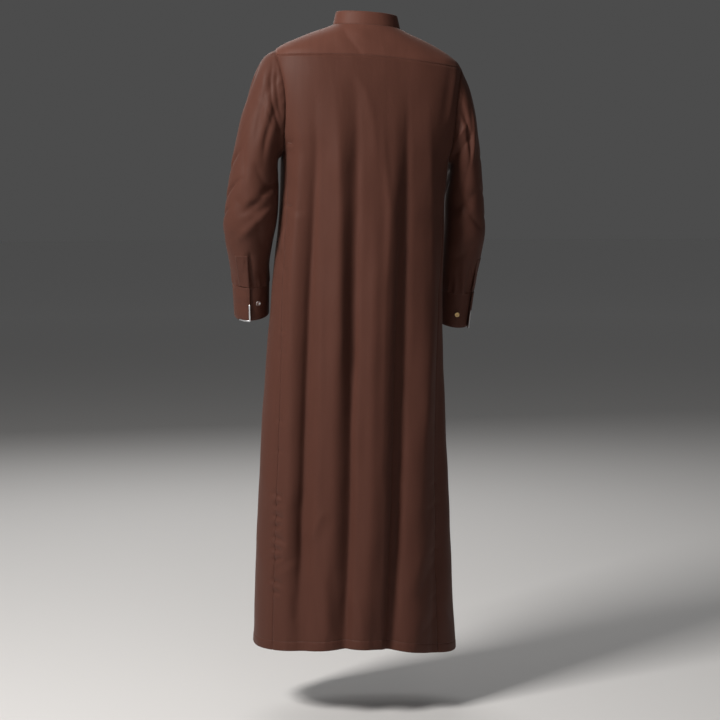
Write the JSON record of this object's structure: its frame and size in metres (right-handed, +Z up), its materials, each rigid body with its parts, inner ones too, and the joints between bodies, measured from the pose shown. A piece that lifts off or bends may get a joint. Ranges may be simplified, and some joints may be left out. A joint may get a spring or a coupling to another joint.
{
  "type": "qamis robe",
  "caption": "Ankle-length qamis robe in worn form: band collar, back yoke, one-piece back, side gores, long sleeves with placket and cuffs, front half placket.",
  "frame": {"origin": "middle of the neck base, between the two neck points of the shoulders, where the wearer's neck and shoulders carry the robe", "axes": "+Z up along the worn robe; -Y is the robe's front, +X the wearer's left"},
  "size_m": [0.5954, 0.324, 1.4391],
  "materials": {
    "cloth": "soft satin",
    "silver_metal": "polished",
    "brass_metal": "polished"
  },
  "bodies": {
    "root": {"yoke": "cloth", "back_panel": "cloth", "front_panel": "cloth", "collar_band": "cloth", "front_placket": "cloth", "collar_stud": "silver_metal", "side_panel_left": "cloth", "sleeve_left": "cloth", "sleeve_placket_left": "cloth", "cuff_left": "cloth", "cuff_edging_left": "silver_metal", "cuff_stud_left": "silver_metal", "side_panel_right": "cloth", "sleeve_right": "cloth", "sleeve_placket_right": "cloth", "cuff_right": "cloth", "cuff_edging_right": "silver_metal", "cuff_stud_right": "brass_metal"}
  },
  "joints": []
}
